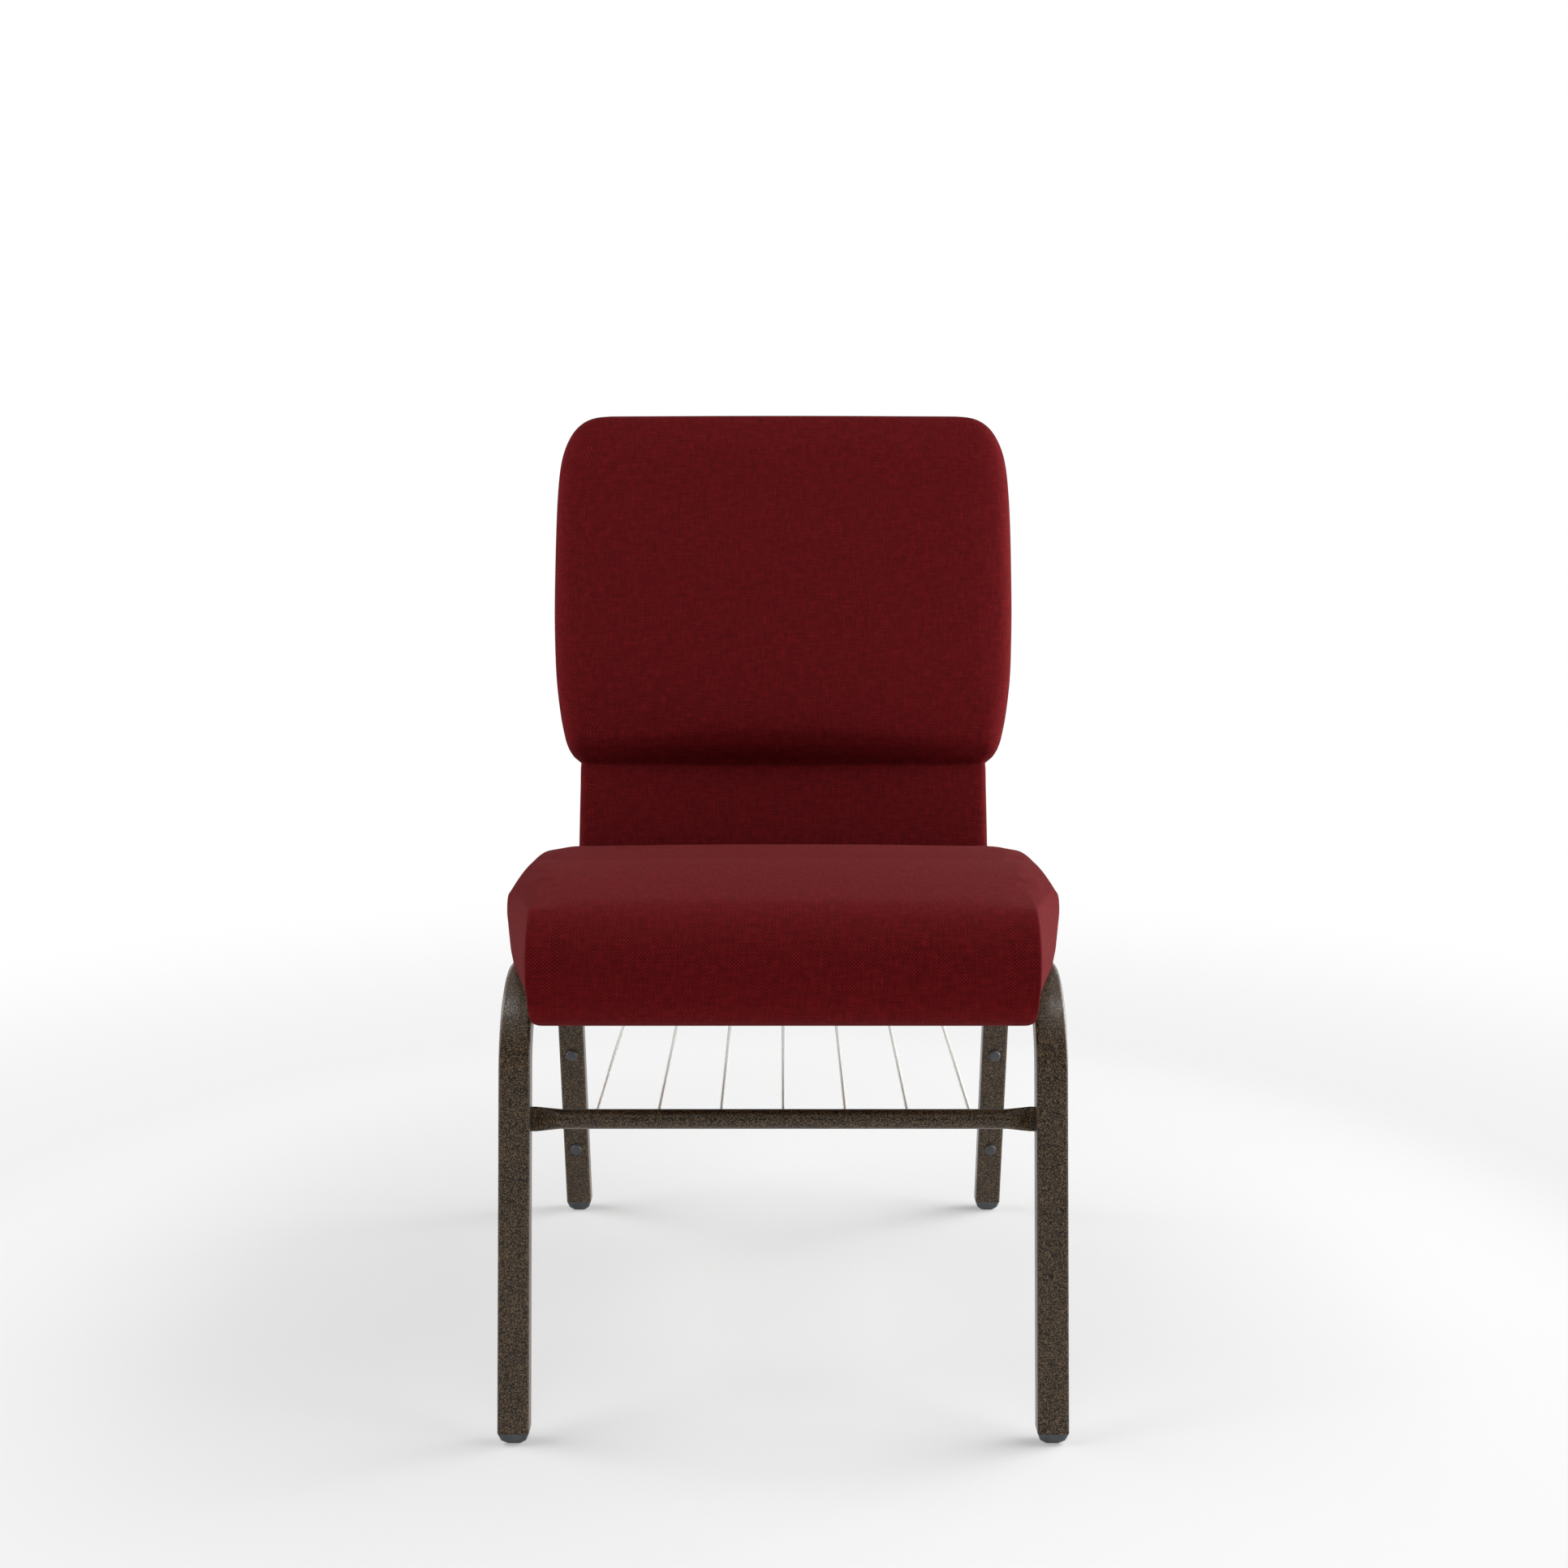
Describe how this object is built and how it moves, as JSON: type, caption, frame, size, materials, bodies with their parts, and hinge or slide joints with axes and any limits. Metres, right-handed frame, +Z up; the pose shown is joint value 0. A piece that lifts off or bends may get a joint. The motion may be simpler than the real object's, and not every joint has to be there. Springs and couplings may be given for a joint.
{
  "type": "stacking guest chair with book rack",
  "caption": "Stacking guest chair on a bent rectangular-tube frame, with an upholstered waterfall seat, a padded back, a wire book rack under the seat and fixed ganging parts.",
  "frame": {"origin": "on the floor, in the middle of the overall box", "axes": "+X to the right seen from the front, +Y to the back, +Z up; the front faces -Y"},
  "size_m": [0.4736, 0.6068, 0.8352],
  "materials": {
    "bronze_coat": "dark bronze speckled powder coat with a fine hammered texture",
    "bright_wire": "bright steel wire under a thin clear bronze lacquer",
    "foot_plastic": "dark blue-grey moulded plastic",
    "brass_screw": "brass-plated cross-recess screws",
    "plywood": "bare plywood",
    "dust_cloth": "black non-woven dust cloth",
    "zinc_steel": "zinc-plated steel",
    "foam": "upholstery foam",
    "burgundy_fabric": "burgundy plain-weave upholstery fabric"
  },
  "bodies": {
    "root": {"left_side_frame": "bronze_coat", "right_side_frame": "bronze_coat", "front_seat_rail": "bronze_coat", "rear_seat_rail": "bronze_coat", "left_back_post": "bronze_coat", "right_back_post": "bronze_coat", "front_left_glide": "foot_plastic", "front_right_glide": "foot_plastic", "rear_left_glide": "foot_plastic", "rear_right_glide": "foot_plastic", "left_lower_bumper": "foot_plastic", "left_upper_bumper": "foot_plastic", "right_lower_bumper": "foot_plastic", "right_upper_bumper": "foot_plastic", "rack_front_tube": "bronze_coat", "rack_rear_tube": "bronze_coat", "rack_wire_1": "bright_wire", "rack_wire_2": "bright_wire", "rack_wire_3": "bright_wire", "rack_wire_4": "bright_wire", "rack_wire_5": "bright_wire", "rack_wire_6": "bright_wire", "rack_wire_7": "bright_wire", "rack_screws": "brass_screw", "seat_board": "plywood", "seat_dust_cover": "dust_cloth", "seat_bolts": "zinc_steel", "seat_tee_nuts": "zinc_steel", "seat_foam": "foam", "seat_cover": "burgundy_fabric", "back_board": "plywood", "back_rear_panel": "plywood", "back_screws": "zinc_steel", "back_foam": "foam", "back_cover": "burgundy_fabric", "ganging_loop": "bronze_coat", "ganging_hook": "bronze_coat"}
  },
  "joints": []
}
